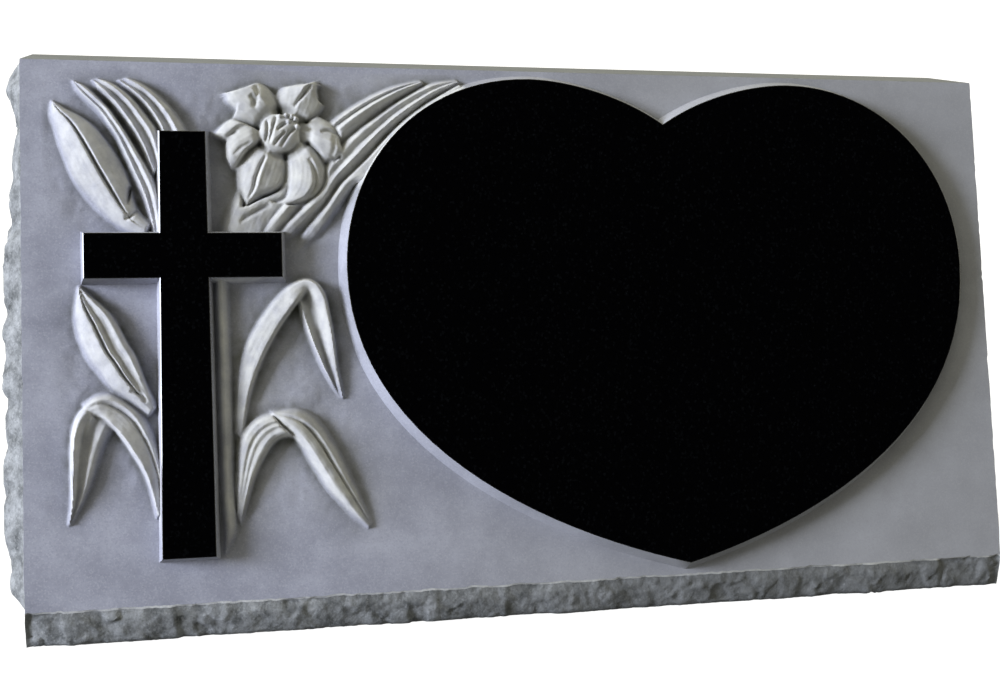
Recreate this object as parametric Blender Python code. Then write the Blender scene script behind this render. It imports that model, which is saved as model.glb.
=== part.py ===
"""Granite monument with a slanted face: one block of dark granite, carved and polished.

The block stands on its sawn underside. Its face leans back from a low rock-pitched nose to a
narrow sawn top, and its sides and back are rock-pitched too. A polished heart and a polished
cross are left standing on the face, and a spray of lilies is carved round the cross.
Metres, +Z up, the face looks along -Y. The origin is the middle of the underside.
"""

import math

import bmesh
import bpy
from mathutils import Matrix, Vector, geometry, noise

# The block
FACE_WIDTH = 0.762
STONE_HEIGHT = 0.398
BASE_DEPTH = 0.205
TOP_DEPTH = 0.068
NOSE_HEIGHT = 0.026

# Rock pitching: the broken stone swells out past the line that the chisel was set on
SIDE_SWELL = 0.017
BACK_SWELL = 0.012
NOSE_SWELL = 0.006
PITCH_RUN = 0.026
NOSE_PITCH_RUN = 0.010
FOOT_SWELL_SHARE = 0.45
ROCK_CHIP = 0.052
ROUGHEST_SHARE = 0.62

# Heart and cross stand this far out of the ground of the face
RELIEF_RISE = 0.012
SUNK = 0.004
WALL_FOOT = 0.0008

# The cross, placed from the left, lower and upper edges of the face
CROSS_SIDE_MARGIN = 0.0405
CROSS_FOOT_MARGIN = 0.0305
CROSS_HEAD_MARGIN = 0.0512
CROSS_SPAN = 0.146
CROSS_FOOT_WIDTH = 0.0435
CROSS_HEAD_WIDTH = 0.0390
CROSS_ARM_WIDTH = 0.0390
CROSS_ARM_LEVEL = 0.2508
CROSS_BATTER = 0.003

# The heart fills the face from beside the cross to the right edge
HEART_GAP = 0.038
HEART_SIDE_MARGIN = 0.0215
HEART_FOOT_MARGIN = 0.0035
HEART_HEAD_MARGIN = 0.0034
HEART_TIP_ASIDE = 0.006
HEART_BATTER = 0.006

# The spray of lilies, placed from the lower and upper edges of the face
SPRAY_FOOT_MARGIN = 0.038
SPRAY_HEAD_MARGIN = 0.008

# Every place on the spray is in thousandths of its height: across from the middle of the cross's
# shaft, and up from the tip of the stem. Widths are in the same unit, and heights above the ground
# of the face are shares of RELIEF_RISE.
THOUSAND = 1000.0

KEELED = ((-1.0, 0.45), (-0.5, 0.80), (0.0, 1.0), (0.5, 0.75), (1.0, 0.40))
GROOVED = ((-1.0, 0.45), (-0.55, 0.95), (0.0, 0.62), (0.35, 0.90), (1.0, 0.50))

# name: spine, widths at even steps along it, highest point at its two ends and middle, section
BLADES = {
    "bud_upper": (
        [(-60, 668), (-112, 742), (-170, 832), (-226, 905), (-262, 940)],
        (52, 98, 98, 66, 8), (0.70, 0.98, 0.60), GROOVED),
    "blade_left_low": (
        [(-60, 680), (-82, 775), (-122, 868), (-172, 937), (-228, 986)],
        (44, 48, 44, 34, 6), (0.55, 0.85, 0.50), KEELED),
    "blade_left_mid": (
        [(-48, 790), (-78, 878), (-122, 948), (-176, 997)],
        (40, 46, 42, 6), (0.60, 0.80, 0.50), KEELED),
    "blade_left_high": (
        [(4, 870), (-34, 937), (-74, 977), (-120, 1000)],
        (34, 44, 38, 6), (0.60, 0.80, 0.50), KEELED),
    "bud_lower": (
        [(-64, 292), (-118, 360), (-172, 442), (-206, 514), (-214, 568)],
        (26, 62, 66, 44, 8), (0.65, 0.92, 0.55), GROOVED),
    "arch_left": (
        [(-54, 40), (-60, 130), (-74, 200), (-104, 262), (-150, 298), (-190, 284),
         (-205, 230), (-212, 165), (-222, 105), (-229, 68)],
        (10, 50, 56, 46, 42, 34, 6), (0.40, 0.80, 0.45), KEELED),
    "stem": (
        [(76, 0), (82, 70), (80, 230), (80, 400), (80, 580)],
        (8, 44, 46, 46, 46), (0.40, 0.62, 0.62), KEELED),
    "arch_high_rise": (
        [(88, 170), (104, 262), (127, 350), (165, 440), (210, 504), (256, 550)],
        (8, 34, 40, 42, 40, 30), (0.35, 0.72, 0.70), KEELED),
    "arch_high_fall": (
        [(250, 550), (278, 503), (300, 440), (314, 372), (326, 314)],
        (20, 42, 44, 32, 5), (0.75, 0.80, 0.45), GROOVED),
    "arch_low": (
        [(90, 20), (104, 100), (126, 176), (158, 234), (196, 260), (236, 254),
         (275, 212), (310, 145), (346, 78), (380, 28)],
        (8, 48, 56, 52, 46, 40, 26, 5), (0.35, 0.80, 0.45), KEELED),
    "sword_back": (
        [(104, 672), (190, 752), (280, 836), (366, 922), (450, 978), (516, 1002)],
        (34, 38, 38, 38, 32, 6), (0.40, 0.55, 0.45), KEELED),
    "sword_mid": (
        [(166, 668), (250, 736), (324, 822), (380, 898), (468, 964), (568, 1002)],
        (34, 40, 40, 38, 32, 6), (0.45, 0.62, 0.45), KEELED),
    "sword_front": (
        [(236, 636), (302, 712), (338, 784), (374, 856), (428, 916), (508, 968), (600, 1004)],
        (26, 36, 36, 34, 32, 30, 6), (0.45, 0.66, 0.45), KEELED),
}

# The open flower: a ring of petals round a cup with its stamens
FLOWER_CENTRE = (206, 884)
FLOWER_CUP_RADIUS = 46
FLOWER_CUP_WALL = 12
FLOWER_CUP_FLOOR = 0.72
# direction in degrees, length and width of each petal in thousandths
PETALS = (
    (128, 138, 116),
    (60, 140, 98),
    (-8, 140, 108),
    (-66, 150, 94),
    (-117, 154, 92),
    (-172, 140, 104),
)
PETAL_WIDTHS = (0.50, 0.86, 1.0, 0.86, 0.26)
PETAL_HEIGHTS = (0.70, 0.96, 0.66)
PETAL_ROOT_SHARE = 0.20
STAMEN_ANGLES = (-12, 14, 40, 66, 92)
STAMEN_WIDTH = 7

STEPS_PER_SPAN = 3
HEART_STEPS = 12
CUP_STEPS = 24

# The heart's outline as shares of its half width and of its height: point, then the handles on
# either side of it
HEART_HALF = (
    ((0.0, 0.916), None, (0.131, 0.973)),
    ((0.418, 1.0), (0.300, 1.0), (0.746, 1.0)),
    ((1.0, 0.608), (1.0, 0.834), (1.0, 0.269)),
    ((0.0, 0.0), (0.480, 0.082), None),
)


def parts_collection(name):
    """A new collection under the scene."""
    made = bpy.data.collections.new(name)
    bpy.context.scene.collection.children.link(made)
    return made


def granite(name, colour, roughness):
    """A plain stone finish."""
    material = bpy.data.materials.new(name)
    material.use_nodes = True
    shader = material.node_tree.nodes["Principled BSDF"]
    shader.inputs["Base Color"].default_value = (*colour, 1.0)
    shader.inputs["Roughness"].default_value = roughness
    shader.inputs["Metallic"].default_value = 0.0
    return material


def mesh_object(name, bm, collection):
    """A finished bmesh as an object."""
    mesh = bpy.data.meshes.new(name)
    bm.to_mesh(mesh)
    bm.free()
    made = bpy.data.objects.new(name, mesh)
    collection.objects.link(made)
    return made


def face_lean():
    """How far the face leans back from upright, in radians."""
    return math.atan2(BASE_DEPTH - TOP_DEPTH, STONE_HEIGHT - NOSE_HEIGHT)


def face_length():
    """The face from its lower to its upper edge, along the slope."""
    return math.hypot(BASE_DEPTH - TOP_DEPTH, STONE_HEIGHT - NOSE_HEIGHT)


def face_frame():
    """Takes (across from the left edge, up the slope, out of the face) to the block's own frame."""
    lean = face_lean()
    across = Vector((1.0, 0.0, 0.0))
    up = Vector((0.0, math.sin(lean), math.cos(lean)))
    out = Vector((0.0, -math.cos(lean), math.sin(lean)))
    turn = Matrix((across, up, out)).transposed().to_4x4()
    return Matrix.Translation((-FACE_WIDTH / 2, 0.0, NOSE_HEIGHT)) @ turn


def ramp(distance, run):
    """0 on the pitched line, rising to 1 a run away from it."""
    share = min(max(distance / run, 0.0), 1.0)
    return 1.0 - (1.0 - share) ** 2


def broken(place):
    """How far out the broken stone stands at a place, from 1 - ROUGHEST_SHARE to 1."""
    wave = 0.65 * noise.noise(place / ROCK_CHIP) + 0.35 * noise.noise(place * 2.3 / ROCK_CHIP)
    return 1.0 - ROUGHEST_SHARE * (0.5 - 0.9 * wave)


def front_depth(height):
    """Where the front of the block is at a height, from the foot of the nose."""
    return max(height - NOSE_HEIGHT, 0.0) * math.tan(face_lean())


def stone_block(collection):
    """The wedge with its rock-pitched sides, back and nose, and its face, top and underside flat."""
    across_cuts, depth_cuts, height_cuts, nose_rows = 31, 5, 15, 2
    bm = bmesh.new()
    bmesh.ops.create_cube(bm, size=1.0)
    for axis, cuts in ((0, across_cuts), (1, depth_cuts), (2, height_cuts)):
        along = [e for e in bm.edges if abs((e.verts[1].co - e.verts[0].co)[axis]) > 1e-6]
        bmesh.ops.subdivide_edges(bm, edges=along, cuts=cuts, use_grid_fill=True)
    rows = height_cuts + 1
    swell = {}
    for vert in bm.verts:
        x, y, z = vert.co
        row = round((z + 0.5) * rows)
        if row <= nose_rows:
            height = NOSE_HEIGHT * row / nose_rows
        else:
            height = NOSE_HEIGHT + (STONE_HEIGHT - NOSE_HEIGHT) * (row - nose_rows) / (rows - nose_rows)
        front = front_depth(height)
        depth = front + (y + 0.5) * (BASE_DEPTH - front)
        place = Vector((x * FACE_WIDTH, depth, height))
        on_side, on_back, on_front = abs(x) > 0.4999, y > 0.4999, y < -0.4999
        from_top = ramp(STONE_HEIGHT - height, PITCH_RUN)
        from_foot = FOOT_SWELL_SHARE + (1.0 - FOOT_SWELL_SHARE) * ramp(height, PITCH_RUN)
        from_side = ramp(FACE_WIDTH / 2 - abs(place.x), PITCH_RUN)
        out = Vector((0.0, 0.0, 0.0))
        if on_side and not on_back and not on_front:
            from_front = ramp((depth - front) * math.cos(face_lean()), PITCH_RUN)
            from_back = ramp(BASE_DEPTH - depth, PITCH_RUN)
            out.x = math.copysign(SIDE_SWELL, x) * from_front * from_back * from_top * from_foot
        elif on_back and not on_side:
            out.y = BACK_SWELL * from_side * from_top * from_foot
        elif on_front and not on_side and height < NOSE_HEIGHT - 1e-6:
            from_arris = ramp(NOSE_HEIGHT - height, NOSE_PITCH_RUN)
            out.y = -NOSE_SWELL * from_side * from_arris * (1.0 if height > 1e-6 else FOOT_SWELL_SHARE)
        swell[vert] = out * broken(place)
        vert.co = place
    for vert, out in swell.items():
        vert.co += out
    for normal in ((0, -math.cos(face_lean()), math.sin(face_lean())), (0, 0, 1), (0, 0, -1)):
        bm.normal_update()
        flat = [f for f in bm.faces if f.normal.dot(Vector(normal)) > 0.99999]
        bmesh.ops.dissolve_faces(bm, faces=flat, use_verts=True)
    bmesh.ops.recalc_face_normals(bm, faces=bm.faces)
    return mesh_object("stone", bm, collection)


def raised_panel(name, outline, batter, collection):
    """A panel that stands on the face: a closed outline in the face's own plane, with its walls
    leaning in by batter. outline adds the splines to a curve and gives the outline at the foot."""
    curve = bpy.data.curves.new(name, "CURVE")
    curve.dimensions = "2D"
    curve.fill_mode = "BOTH"
    curve.extrude = SUNK / 2
    curve.bevel_depth = batter
    curve.bevel_resolution = 0
    curve.offset = -batter
    outline(curve)
    made = bpy.data.objects.new(name, curve)
    collection.objects.link(made)
    graph = bpy.context.evaluated_depsgraph_get()
    mesh = bpy.data.meshes.new_from_object(made.evaluated_get(graph))
    bm = bmesh.new()
    bm.from_mesh(mesh)
    bmesh.ops.remove_doubles(bm, verts=bm.verts, dist=1e-5)
    wall_foot = SUNK / 2
    stretch = (RELIEF_RISE + WALL_FOOT) / batter
    for vert in bm.verts:
        above = vert.co.z - wall_foot
        vert.co.z = -WALL_FOOT + (above * stretch if above > 0 else above)
    bm.transform(face_frame())
    bmesh.ops.recalc_face_normals(bm, faces=bm.faces)
    bpy.data.meshes.remove(mesh)
    bpy.data.objects.remove(made)
    return mesh_object(name, bm, collection)


def cross_shaft_middle():
    """How far the middle of the cross's shaft is from the left edge of the face."""
    return CROSS_SIDE_MARGIN + CROSS_SPAN / 2


def cross_outline(curve):
    """A Latin cross at the foot of its walls."""
    middle, half_span = cross_shaft_middle(), CROSS_SPAN / 2
    foot, head = CROSS_FOOT_MARGIN, face_length() - CROSS_HEAD_MARGIN
    arm_low, arm_high = CROSS_ARM_LEVEL - CROSS_ARM_WIDTH / 2, CROSS_ARM_LEVEL + CROSS_ARM_WIDTH / 2

    def shaft(level):
        return along((CROSS_FOOT_WIDTH, CROSS_HEAD_WIDTH), (level - foot) / (head - foot)) / 2

    corners = [
        (shaft(foot), foot), (shaft(arm_low), arm_low), (half_span, arm_low),
        (half_span, arm_high), (shaft(arm_high), arm_high), (shaft(head), head),
    ]
    ring = corners + [(-across, up) for across, up in reversed(corners)]
    spline = curve.splines.new("POLY")
    spline.points.add(len(ring) - 1)
    for point, (across, up) in zip(spline.points, ring):
        point.co = (middle + across, up, 0.0, 1.0)
    spline.use_cyclic_u = True


def heart_outline(curve):
    """A broad heart at the foot of its walls: one half as drawn, the other mirrored."""
    left = CROSS_SIDE_MARGIN + CROSS_SPAN + HEART_GAP
    half = (FACE_WIDTH - HEART_SIDE_MARGIN - left) / 2
    low = HEART_FOOT_MARGIN
    tall = face_length() - HEART_HEAD_MARGIN - low

    def place(point, side):
        return Vector((left + half + side * point[0] * half, low + point[1] * tall, 0.0))

    def tip_place(point, side):
        return place(point, side) + Vector((HEART_TIP_ASIDE, 0.0, 0.0))

    notch, lobe, flank, tip = HEART_HALF
    ring = [(place(notch[0], 1), place(notch[2], -1), place(notch[2], 1))]
    ring += [(place(p, 1), place(before, 1), place(after, 1)) for p, before, after in (lobe, flank)]
    ring += [(tip_place(tip[0], 1), tip_place(tip[1], 1), tip_place(tip[1], -1))]
    ring += [(place(p, -1), place(after, -1), place(before, -1)) for p, before, after in (flank, lobe)]
    spline = curve.splines.new("BEZIER")
    spline.bezier_points.add(len(ring) - 1)
    for point, (co, before, after) in zip(spline.bezier_points, ring):
        point.handle_left_type = point.handle_right_type = "FREE"
        point.co, point.handle_left, point.handle_right = co, before, after
    spline.use_cyclic_u = True
    curve.resolution_u = HEART_STEPS


def spray_height():
    """From the tip of the stem to the tips of the tallest leaves."""
    return face_length() - SPRAY_FOOT_MARGIN - SPRAY_HEAD_MARGIN


def on_spray(across, up):
    """A place on the spray, in the face's own plane."""
    scale = spray_height() / THOUSAND
    return Vector((cross_shaft_middle() + across * scale, SPRAY_FOOT_MARGIN + up * scale, 0.0))


def smooth_path(points, steps):
    """A smooth curve through the points, with the given number of steps from each to the next."""
    path = [points[0]]
    for i in range(len(points) - 1):
        here, there = points[i], points[i + 1]
        before = points[i - 1] if i else here
        after = points[i + 2] if i + 2 < len(points) else there
        leave = here + (there - before) / 6
        arrive = there - (after - here) / 6
        path += geometry.interpolate_bezier(here, leave, arrive, there, steps + 1)[1:]
    return path


def along(values, share):
    """The value at a share of the way through evenly spaced values."""
    at = share * (len(values) - 1)
    i = min(int(at), len(values) - 2)
    return values[i] + (values[i + 1] - values[i]) * (at - i)


def blade(name, spine, widths, heights, section, collection):
    """A leaf or petal as a loft along its spine: the section's crests on top, and a flat underside
    sunk in the stone. spine is a path in the face's own plane, and widths are in metres."""
    bm = bmesh.new()
    count = len(spine)
    rings = []
    for i, place in enumerate(spine):
        share = i / (count - 1)
        run = spine[min(i + 1, count - 1)] - spine[max(i - 1, 0)]
        aside = Vector((-run.y, run.x, 0.0)).normalized()
        half = along(widths, share) / 2
        high = along(heights, share) * RELIEF_RISE
        ring = [bm.verts.new(place + aside * half * t + Vector((0.0, 0.0, high * h))) for t, h in section]
        ring += [bm.verts.new(place + aside * half * t - Vector((0.0, 0.0, SUNK))) for t in (1.0, -1.0)]
        rings.append(ring)
    for ring, after in zip(rings, rings[1:]):
        for j in range(len(ring)):
            k = (j + 1) % len(ring)
            bm.faces.new((ring[j], ring[k], after[k], after[j]))
    bm.faces.new(rings[0])
    bm.faces.new(rings[-1])
    bm.transform(face_frame())
    bmesh.ops.recalc_face_normals(bm, faces=bm.faces)
    return mesh_object(name, bm, collection)


def leaves(collection):
    """Every leaf and bud of the spray."""
    scale = spray_height() / THOUSAND
    made = []
    for name, (points, widths, heights, section) in BLADES.items():
        spine = smooth_path([on_spray(*p) for p in points], STEPS_PER_SPAN)
        made.append(blade(name, spine, [w * scale for w in widths], heights, section, collection))
    return made


def petals(collection):
    """The ring of petals, each from under the cup outwards."""
    scale = spray_height() / THOUSAND
    centre = on_spray(*FLOWER_CENTRE)
    made = []
    for i, (turn, length, width) in enumerate(PETALS):
        way = Vector((math.cos(math.radians(turn)), math.sin(math.radians(turn)), 0.0))
        root, tip = PETAL_ROOT_SHARE * length * scale, length * scale
        spine = [centre + way * (root + (tip - root) * step / 7) for step in range(8)]
        widths = [share * width * scale for share in PETAL_WIDTHS]
        made.append(blade(f"petal_{i + 1}", spine, widths, PETAL_HEIGHTS, GROOVED, collection))
    return made


def cup(collection):
    """The flower's cup: a turned ring with a sunken floor."""
    scale = spray_height() / THOUSAND
    outer = FLOWER_CUP_RADIUS * scale
    rim = outer - FLOWER_CUP_WALL * scale
    floor = FLOWER_CUP_FLOOR * RELIEF_RISE
    profile = [(0.0, floor), (rim * 0.8, floor), (rim, RELIEF_RISE), (outer, RELIEF_RISE * 0.94),
               (outer, -SUNK), (0.0, -SUNK)]
    bm = bmesh.new()
    verts = [bm.verts.new((radius, 0.0, height)) for radius, height in profile]
    edges = [bm.edges.new(pair) for pair in zip(verts, verts[1:])]
    bmesh.ops.spin(bm, geom=verts + edges, cent=(0, 0, 0), axis=(0, 0, 1), angle=2 * math.pi,
                   steps=CUP_STEPS, use_merge=True)
    bmesh.ops.remove_doubles(bm, verts=bm.verts, dist=1e-6)
    bm.transform(face_frame() @ Matrix.Translation(on_spray(*FLOWER_CENTRE)))
    bmesh.ops.recalc_face_normals(bm, faces=bm.faces)
    return mesh_object("cup", bm, collection)


def stamens(collection):
    """Ribs that fan out across the floor of the cup from its lower left."""
    scale = spray_height() / THOUSAND
    reach = (FLOWER_CUP_RADIUS - FLOWER_CUP_WALL) * scale
    centre = on_spray(*FLOWER_CENTRE)
    root = centre + Vector((-0.45, -0.62, 0.0)) * reach
    made = []
    for i, turn in enumerate(STAMEN_ANGLES):
        way = Vector((math.cos(math.radians(turn + 12)), math.sin(math.radians(turn + 12)), 0.0))
        start, end = root + way * reach * 0.30, root + way * reach * 1.35
        spine = [start.lerp(end, step / 3) for step in range(4)]
        widths = [STAMEN_WIDTH * scale * share for share in (0.6, 0.8, 1.0, 1.2)]
        made.append(blade(f"stamen_{i + 1}", spine, widths, (0.80, 0.92, 0.97), KEELED, collection))
    return made


def centred(stone):
    """Moves the stone so that the origin is the middle of its footprint's box."""
    xs = [v.co.x for v in stone.data.vertices]
    ys = [v.co.y for v in stone.data.vertices]
    shift = Vector((-(min(xs) + max(xs)) / 2, -(min(ys) + max(ys)) / 2, 0.0))
    stone.data.transform(Matrix.Translation(shift))


def main():
    for obj in list(bpy.data.objects):
        bpy.data.objects.remove(obj)
    monument = parts_collection("granite_monument")
    carving = parts_collection("carving_shapes")
    stone = stone_block(monument)
    raised_panel("cross", cross_outline, CROSS_BATTER, carving)
    raised_panel("heart", heart_outline, HEART_BATTER, carving)
    leaves(carving)
    petals(carving)
    cup(carving)
    stamens(carving)
    union = stone.modifiers.new("carving", "BOOLEAN")
    union.operation = "UNION"
    union.operand_type = "COLLECTION"
    union.collection = carving
    union.solver = "EXACT"
    graph = bpy.context.evaluated_depsgraph_get()
    carved = bpy.data.meshes.new_from_object(stone.evaluated_get(graph))
    stone.modifiers.clear()
    stone.data = carved
    for shape in list(carving.objects):
        bpy.data.objects.remove(shape)
    bpy.data.collections.remove(carving)
    centred(stone)
    stone.name = "carved_stone"
    stone.data.name = "carved_stone"
    stone.data.materials.clear()
    stone.data.materials.append(granite("frosted_dark_granite", (0.33, 0.34, 0.37), 0.75))
    stone.data.shade_smooth()
    stone.data.set_sharp_from_angle(angle=math.radians(30))


main()
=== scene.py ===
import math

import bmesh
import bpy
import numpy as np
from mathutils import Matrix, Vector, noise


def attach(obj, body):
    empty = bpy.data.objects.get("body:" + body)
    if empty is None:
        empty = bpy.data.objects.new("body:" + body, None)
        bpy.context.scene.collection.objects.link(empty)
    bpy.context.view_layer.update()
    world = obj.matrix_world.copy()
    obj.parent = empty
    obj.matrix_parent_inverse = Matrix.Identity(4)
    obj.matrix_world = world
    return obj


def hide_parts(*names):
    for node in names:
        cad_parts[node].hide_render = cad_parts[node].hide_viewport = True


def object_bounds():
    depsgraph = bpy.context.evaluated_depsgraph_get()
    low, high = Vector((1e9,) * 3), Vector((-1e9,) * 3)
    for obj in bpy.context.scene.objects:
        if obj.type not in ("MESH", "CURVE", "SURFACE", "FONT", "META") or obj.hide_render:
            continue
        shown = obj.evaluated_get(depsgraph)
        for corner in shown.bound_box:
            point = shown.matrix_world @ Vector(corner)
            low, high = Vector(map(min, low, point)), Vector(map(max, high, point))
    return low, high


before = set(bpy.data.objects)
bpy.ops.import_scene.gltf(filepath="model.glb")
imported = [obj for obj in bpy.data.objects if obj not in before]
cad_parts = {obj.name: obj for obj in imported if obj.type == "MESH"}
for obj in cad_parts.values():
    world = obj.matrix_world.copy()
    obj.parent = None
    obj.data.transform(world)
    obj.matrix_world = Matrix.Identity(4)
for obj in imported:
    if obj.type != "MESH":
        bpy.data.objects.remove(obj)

# The looks of a granite monument with a slanted face. One block carries everything: a rock-pitched
# nose, sides and back, a sawn top and underside, a frosted face with a spray of lilies carved in it,
# and a polished heart and cross that stand out of the face.
#
# Places on the face are millimetres across from its left edge, up the slope from its lower edge, and
# out from its ground.

cad_low, cad_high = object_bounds()

MM = 0.001
TINY = 1e-6

# The block, in millimetres
FACE_WIDTH = 762.0
STONE_HEIGHT = (cad_high.z - cad_low.z) / MM
BASE_DEPTH = 205.0
TOP_DEPTH = 68.0
NOSE_HEIGHT = 26.0
ARRIS_AHEAD = 104.56
LEAN = math.atan2(BASE_DEPTH - TOP_DEPTH, STONE_HEIGHT - NOSE_HEIGHT)
FACE_LENGTH = math.hypot(BASE_DEPTH - TOP_DEPTH, STONE_HEIGHT - NOSE_HEIGHT)

# The broken stone, which stands out no further than the block's own box
SIDE_LIMIT = cad_high.x / MM - FACE_WIDTH / 2
BACK_LIMIT = cad_high.y / MM + ARRIS_AHEAD - BASE_DEPTH
NOSE_LIMIT = -cad_low.y / MM - ARRIS_AHEAD
SIDE_SWELL, BACK_SWELL, NOSE_SWELL = 19.04, 13.44, 6.9
DEEPEST_CHIP = 1.5
PITCH_RUN, NOSE_PITCH_RUN = 26.0, 10.0
RIGHT_PITCH_RUN = 62.0

# How far the left side swells at each height, as a share: one long flake above the next
LEFT_LEDGES = ((0.0, 0.12), (20.0, 0.16), (32.0, 1.05), (66.0, 1.12), (76.0, 1.40), (112.0, 1.40),
               (124.0, 1.12), (166.0, 1.12), (172.0, 1.50), (206.0, 1.50), (214.0, 1.30), (268.0, 1.30),
               (276.0, 0.98), (386.0, 0.98))
LEDGE_WANDER, WANDER_BACK, WANDER_UP = 16.0, 40.0, 90.0

# The swell's share at the foot, and its waves: length, and share of the whole
FOOT_SWELL_SHARE, NOSE_FOOT_RUN = 0.45, 4.0
ROCK_WAVES = ((52.0, 0.65), (52.0 / 2.3, 0.35))
ROUGHEST_SHARE, WAVE_SHARE = 0.62, 0.9

# Flakes: their sizes, and how deep those of each size go on each side
FLAKE_SIZES = (38.0, 15.0, 6.0)
RIGHT_FLAKES = (5.0, 2.6, 1.0)
LEFT_FLAKES = (3.2, 1.4, 0.6)
BACK_FLAKES = (4.0, 2.08, 0.8)
NOSE_FLAKES = (1.6, 1.6, 0.8)
FLAKE_TILT, FLAKE_DROP, FLAKE_EDGE = 1.5, 0.8, 0.10
FLAKE_RUN, NOSE_FLAKE_RUN = 9.0, 4.0

# Nicks in the edges: depths, and the lengths of the coarse and the fine ones
NOSE_NICK, SIDE_NICK, TOP_NICK = 1.8, 0.9, 1.4
NICK_LENGTHS, SIDE_NICK_LENGTHS, TOP_END_NICK = (17.0, 5.0), (21.0, 7.0), 9.0
ARRIS_LINE = 1.3

# How finely the plain block is cut before it is broken
BLOCK_CUTS = (119, 27, 65)
NOSE_ROWS, NOSE_CUTS, SIDE_CUTS = 5, 3, 1

# The break is the same in every run only when the noise is given a seed
BREAK_SEED = 3

# Heart and cross
RELIEF_RISE = 12.0
SUNK = 4.0
WALL_FOOT = 0.8
POLISH_ARRIS, POLISH_ARRIS_DROP = 0.45, 0.27
CROSS_LEFT, CROSS_SPAN, CROSS_FOOT, CROSS_HEAD = 40.5, 146.0, 30.5, FACE_LENGTH - 51.2
CROSS_FOOT_WIDTH, CROSS_HEAD_WIDTH, CROSS_ARM_WIDTH, CROSS_ARM_LEVEL = 43.5, 39.0, 39.0, 250.8
CROSS_BATTER = 3.0
HEART_LEFT, HEART_RIGHT = 224.5, FACE_WIDTH - 21.5
HEART_LOW, HEART_TALL = 3.5, FACE_LENGTH - 3.4 - 3.5
HEART_TIP_ASIDE = 6.0
HEART_BATTER = 6.0
HEART_STEPS = 24
SMOOTH_ANGLE = math.radians(48)

# One half of the heart as shares of its half width and its height: point, then the handles on
# either side of it
HEART_HALF = (
    ((0.0, 0.916), None, (0.131, 0.973)),
    ((0.418, 1.0), (0.300, 1.0), (0.746, 1.0)),
    ((1.0, 0.608), (1.0, 0.834), (1.0, 0.269)),
    ((0.0, 0.0), (0.480, 0.082), None),
)

# The carved field on the face, and how finely it is cut
FIELD_LOW, FIELD_HIGH = (14.0, 24.0), (336.0, 392.5)
FIELD_STEP = 0.76
FIELD_KEEP = 0.30
FIELD_EDGE = 6.0
CARVED_FROM, CARVED_TOP = 1.0, RELIEF_RISE - 0.3
WORN_STEPS = 0.55
LEAF_STEPS, LINE_STEPS = 8, 6
LEAF_WALL = 2.4
CONTACT_DEPTH, CONTACT_RUN, CONTACT_HEIGHT = 1.2, 1.7, 5.0
VEIN_DEPTH, VEIN_GAP, VEIN_HEIGHT = 0.09, 3.4, 8.0

# The ground: tool marks (depth and length of each kind) round the spray, which lies in a shallow dish
TOOLED_REACH, TOOLED_GAIN, TOOLED_SEED = 22.0, 3.0, 5
TOOLED_DEPTHS = ((0.40, 9.0), (0.15, 3.2), (0.07, 1.4))
DISH_DEPTH, DISH_RUN = 1.6, 9.0

# Painted shade in hollows, bruised leaves, a painted shadow right of the cross, and each one's
# greatest share and colour. The whole stone also turns greyer over a span across it, in metres.
RECESS_SHADE_RUN, RECESS_SHADE_DEPTH = 5.0, 4.2
BRUISED_FROM, BRUISED_RUN = 1.5, 4.0
CROSS_SHADOW_RUN, CROSS_SHADOW_GAIN, CROSS_SHADOW_LEFT, CROSS_SHADOW_FADE = 18.0, 1.6, 118.0, 26.0
MARKED_LOW, MARKED_HIGH = -6.0, RELIEF_RISE - 0.05
GREYER_SPAN, GREYEST_SHARE = (-0.18, 0.12), 0.55
# The first tone is a painted shadow right of the cross and the last is painted shade in hollows; the middle
# one is the bruised stone
MARK_AND_SHADE_TONES = (("painted_cross_shadow", 0.45, "#8e8e86"), ("carved", 0.46, "#d9d9d6"), ("painted_recess_shade", 0.70, "#3a3c2d"))
SMEAR_SIZE = 9.0
GRANITE_IOR = 1.5

# Sections across a leaf: how far from one edge (-1) to the other (1), and the share of its height
BUD = ((-1, 0.22), (-0.7, 0.5), (-0.35, 0.8), (-0.06, 1.0), (0.04, 0.46), (0.14, 0.98), (0.35, 0.86),
       (0.6, 0.66), (0.85, 0.36), (1, 0.05))
BUD_FOOT = ((-1, 0.24), (-0.7, 0.62), (-0.1, 0.96), (0.5, 0.9), (1, 0.4))
SCOOPED = ((-1, 0.2), (-0.75, 0.48), (-0.4, 0.78), (-0.08, 0.98), (0.02, 0.45), (0.14, 0.95), (0.34, 0.62),
           (0.62, 0.72), (0.85, 0.92), (1, 0.7))
BLADE = ((-1, 0.14), (-0.56, 0.92), (-0.3, 0.6), (0.0, 0.46), (0.34, 1.0), (0.66, 0.78), (1, 0.22))
BLADE_LOW = ((-1, 0.2), (-0.5, 0.7), (-0.25, 0.5), (0.0, 0.45), (0.35, 0.95), (0.7, 0.85), (1, 0.22))
SPEAR = ((-1, 0.3), (-0.66, 0.7), (-0.42, 0.36), (0.05, 1.0), (0.45, 0.78), (1, 0.24))
SPEAR_LOW = ((-1, 0.36), (-0.55, 0.74), (-0.05, 0.46), (0.36, 1.0), (0.66, 0.66), (1, 0.34))
RIM = ((-1, 0.3), (-0.45, 0.92), (0.2, 0.94), (1, 0.9))
REED = ((-1, 0.26), (-0.5, 0.82), (-0.1, 1.0), (0.5, 0.76), (1, 0.28))
BROAD = ((-1, 0.1), (-0.6, 0.75), (-0.3, 0.9), (0.2, 0.8), (1, 0.6))
UNDER = ((-1, 0.45), (-0.78, 0.9), (-0.5, 0.62), (0.0, 0.45), (1, 0.4))
RISE = ((-1, 0.3), (-0.75, 0.55), (-0.2, 0.72), (0.5, 0.92), (0.85, 1.0), (1, 0.72))
FALL = ((-1, 0.6), (-0.8, 1.0), (-0.3, 0.86), (0.4, 0.55), (1, 0.3))
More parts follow.
